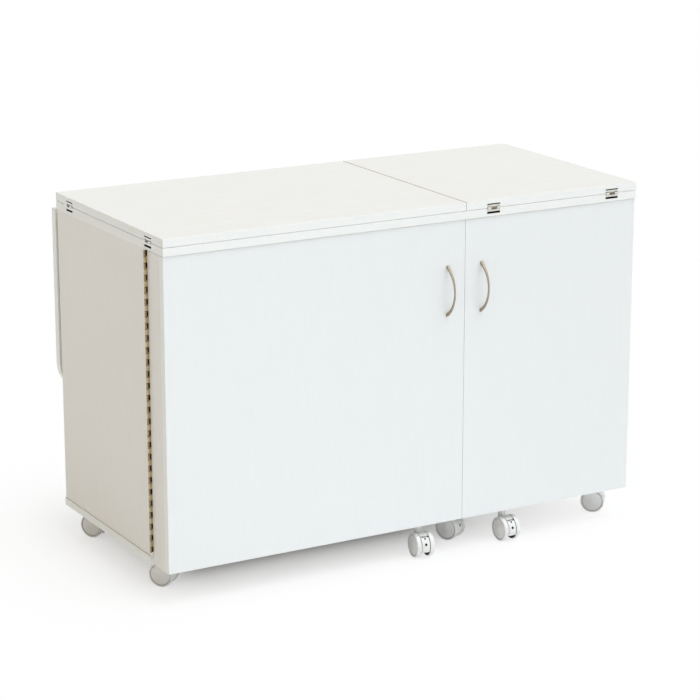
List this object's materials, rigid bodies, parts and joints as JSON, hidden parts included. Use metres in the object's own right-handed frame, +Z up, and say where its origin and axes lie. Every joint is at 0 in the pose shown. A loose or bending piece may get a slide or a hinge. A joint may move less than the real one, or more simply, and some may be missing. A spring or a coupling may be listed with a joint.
{
  "type": "folding sewing cabinet",
  "caption": "White sewing cabinet on castors with a fold-out two-leaf top, rear drop leaf, machine lift and deep storage doors with bow handles.",
  "frame": {"origin": "on the floor under the middle of the closed part, leaves folded and doors shut", "axes": "+X to the right along the width, +Y from the doors to the back, +Z up"},
  "size_m": [1.1722, 0.591, 0.7876],
  "materials": {
    "white_melamine": "matt melamine on particle board with edge banding",
    "white_nylon": "moulded nylon",
    "zinc_steel": "zinc plated",
    "brass_plated_hinge": "brass plated strip, slightly tarnished",
    "nickel_hinge": "nickel plated",
    "satin_nickel": "satin nickel with a warm tone",
    "beech": "raw beech",
    "grey_coated_steel": "powder coated",
    "black_coated_steel": "powder coated",
    "chromed_rod": "hard chromed and polished"
  },
  "bodies": {
    "cabinet": {"side_left": "white_melamine", "divider": "white_melamine", "side_right": "white_melamine", "back_panel": "white_melamine", "base_board": "white_melamine", "deck": "white_melamine", "bay_shelves": "white_melamine", "base_screws": "zinc_steel", "deck_dowels": "beech", "left_leaf_hinges_fixed": "nickel_hinge", "right_leaf_hinges_fixed": "nickel_hinge", "rear_leaf_hinges_fixed": "nickel_hinge", "left_long_hinge_fixed": "brass_plated_hinge", "right_long_hinge_fixed": "brass_plated_hinge", "carcass_castor_stems": "zinc_steel", "lift_rails": "grey_coated_steel", "lift_struts": "black_coated_steel"},
    "left_leaf": {"left_leaf": "white_melamine", "left_leaf_hinges_moving": "nickel_hinge"},
    "right_leaf": {"right_leaf": "white_melamine", "right_leaf_hinges_moving": "nickel_hinge"},
    "rear_leaf": {"rear_leaf": "white_melamine", "rear_leaf_hinges_moving": "nickel_hinge"},
    "lift": {"lift_platform": "white_melamine", "lift_carriages": "grey_coated_steel", "lift_rods": "chromed_rod"},
    "left_door": {"left_door_panel": "white_melamine", "left_door_box_sides": "white_melamine", "left_door_box_top": "white_melamine", "left_door_box_bottom": "white_melamine", "left_door_shelves": "white_melamine", "left_handle": "satin_nickel", "left_door_castor_stem": "zinc_steel", "left_long_hinge_moving": "brass_plated_hinge"},
    "right_door": {"right_door_panel": "white_melamine", "right_door_box_sides": "white_melamine", "right_door_box_top": "white_melamine", "right_door_box_bottom": "white_melamine", "right_door_shelves": "white_melamine", "right_handle": "satin_nickel", "right_door_castor_stem": "zinc_steel", "right_long_hinge_moving": "brass_plated_hinge"},
    "front_left_castor": {"front_left_castor_housing": "white_nylon"},
    "front_left_wheels": {"front_left_castor_wheels": "white_nylon"},
    "front_middle_castor": {"front_middle_castor_housing": "white_nylon"},
    "front_middle_wheels": {"front_middle_castor_wheels": "white_nylon"},
    "front_right_castor": {"front_right_castor_housing": "white_nylon"},
    "front_right_wheels": {"front_right_castor_wheels": "white_nylon"},
    "rear_left_castor": {"rear_left_castor_housing": "white_nylon"},
    "rear_left_wheels": {"rear_left_castor_wheels": "white_nylon"},
    "rear_middle_castor": {"rear_middle_castor_housing": "white_nylon"},
    "rear_middle_wheels": {"rear_middle_castor_wheels": "white_nylon"},
    "rear_right_castor": {"rear_right_castor_housing": "white_nylon"},
    "rear_right_wheels": {"rear_right_castor_wheels": "white_nylon"},
    "left_door_castor": {"left_door_castor_housing": "white_nylon"},
    "left_door_wheels": {"left_door_castor_wheels": "white_nylon"},
    "left_door_brake": {"left_door_castor_pedal": "white_nylon"},
    "right_door_castor": {"right_door_castor_housing": "white_nylon"},
    "right_door_wheels": {"right_door_castor_wheels": "white_nylon"},
    "right_door_brake": {"right_door_castor_pedal": "white_nylon"}
  },
  "joints": [
    {"name": "left_door_hinge", "type": "hinge", "parent": "cabinet", "child": "left_door", "pos_m": [-0.5838, -0.1882, 0.425], "axis": [0, 0, -1], "range_deg": [0, 180]},
    {"name": "right_door_hinge", "type": "hinge", "parent": "cabinet", "child": "right_door", "pos_m": [0.5838, -0.1882, 0.425], "axis": [0, 0, 1], "range_deg": [0, 180]},
    {"name": "left_leaf_hinge", "type": "hinge", "parent": "cabinet", "child": "left_leaf", "pos_m": [-0.5804, 0.0015, 0.7693], "axis": [0, -1, 0], "range_deg": [0, 180]},
    {"name": "right_leaf_hinge", "type": "hinge", "parent": "cabinet", "child": "right_leaf", "pos_m": [0.358, -0.2669, 0.7693], "axis": [1, 0, 0], "range_deg": [0, 180]},
    {"name": "rear_leaf_hinge", "type": "hinge", "parent": "cabinet", "child": "rear_leaf", "pos_m": [0, 0.273, 0.7465], "axis": [1, 0, 0], "range_deg": [0, 90]},
    {"name": "machine_lift", "type": "slide", "parent": "cabinet", "child": "lift", "axis": [0, 0, 1], "range_m": [0, 0.3]},
    {"name": "front_left_swivel", "type": "hinge", "parent": "cabinet", "child": "front_left_castor", "pos_m": [-0.512, -0.1365, 0.06], "axis": [0, 0, 1], "continuous": true},
    {"name": "front_left_wheel_spin", "type": "hinge", "parent": "front_left_castor", "child": "front_left_wheels", "pos_m": [-0.52333, -0.12251, 0.0275], "axis": [-0.7771, -0.6293, 0], "continuous": true},
    {"name": "front_middle_swivel", "type": "hinge", "parent": "cabinet", "child": "front_middle_castor", "pos_m": [0.153, -0.1585, 0.06], "axis": [0, 0, 1], "continuous": true},
    {"name": "front_middle_wheel_spin", "type": "hinge", "parent": "front_middle_castor", "child": "front_middle_wheels", "pos_m": [0.16145, -0.17439, 0.0275], "axis": [0.8829, 0.4695, 0], "continuous": true},
    {"name": "front_right_swivel", "type": "hinge", "parent": "cabinet", "child": "front_right_castor", "pos_m": [0.5375, -0.1625, 0.06], "axis": [0, 0, 1], "continuous": true},
    {"name": "front_right_wheel_spin", "type": "hinge", "parent": "front_right_castor", "child": "front_right_wheels", "pos_m": [0.55129, -0.17407, 0.0275], "axis": [0.6428, 0.766, 0], "continuous": true},
    {"name": "rear_left_swivel", "type": "hinge", "parent": "cabinet", "child": "rear_left_castor", "pos_m": [-0.512, 0.2215, 0.06], "axis": [0, 0, 1], "continuous": true},
    {"name": "rear_left_wheel_spin", "type": "hinge", "parent": "rear_left_castor", "child": "rear_left_wheels", "pos_m": [-0.52154, 0.23677, 0.0275], "axis": [-0.848, -0.5299, 0], "continuous": true},
    {"name": "rear_middle_swivel", "type": "hinge", "parent": "cabinet", "child": "rear_middle_castor", "pos_m": [0.136, 0.2215, 0.06], "axis": [0, 0, 1], "continuous": true},
    {"name": "rear_middle_wheel_spin", "type": "hinge", "parent": "rear_middle_castor", "child": "rear_middle_wheels", "pos_m": [0.145, 0.23709, 0.0275], "axis": [-0.866, 0.5, 0], "continuous": true},
    {"name": "rear_right_swivel", "type": "hinge", "parent": "cabinet", "child": "rear_right_castor", "pos_m": [0.546, 0.2215, 0.06], "axis": [0, 0, 1], "continuous": true},
    {"name": "rear_right_wheel_spin", "type": "hinge", "parent": "rear_right_castor", "child": "rear_right_wheels", "pos_m": [0.55066, 0.23889, 0.0275], "axis": [-0.9659, 0.2588, 0], "continuous": true},
    {"name": "left_door_swivel", "type": "hinge", "parent": "left_door", "child": "left_door_castor", "pos_m": [0.045, -0.2265, 0.06], "axis": [0, 0, 1], "continuous": true},
    {"name": "left_door_wheel_spin", "type": "hinge", "parent": "left_door_castor", "child": "left_door_wheels", "pos_m": [0.04312, -0.2444, 0.0275], "axis": [0.9945, -0.1045, 0], "continuous": true},
    {"name": "left_door_brake_pedal", "type": "hinge", "parent": "left_door_castor", "child": "left_door_brake", "pos_m": [0.04312, -0.2444, 0.0275], "axis": [0.9945, -0.1045, 0], "range_deg": [0, 18]},
    {"name": "right_door_swivel", "type": "hinge", "parent": "right_door", "child": "right_door_castor", "pos_m": [0.265, -0.2265, 0.06], "axis": [0, 0, 1], "continuous": true},
    {"name": "right_door_wheel_spin", "type": "hinge", "parent": "right_door_castor", "child": "right_door_wheels", "pos_m": [0.26547, -0.24449, 0.0275], "axis": [0.9997, 0.0262, 0], "continuous": true},
    {"name": "right_door_brake_pedal", "type": "hinge", "parent": "right_door_castor", "child": "right_door_brake", "pos_m": [0.26547, -0.24449, 0.0275], "axis": [0.9997, 0.0262, 0], "range_deg": [0, 18]}
  ]
}
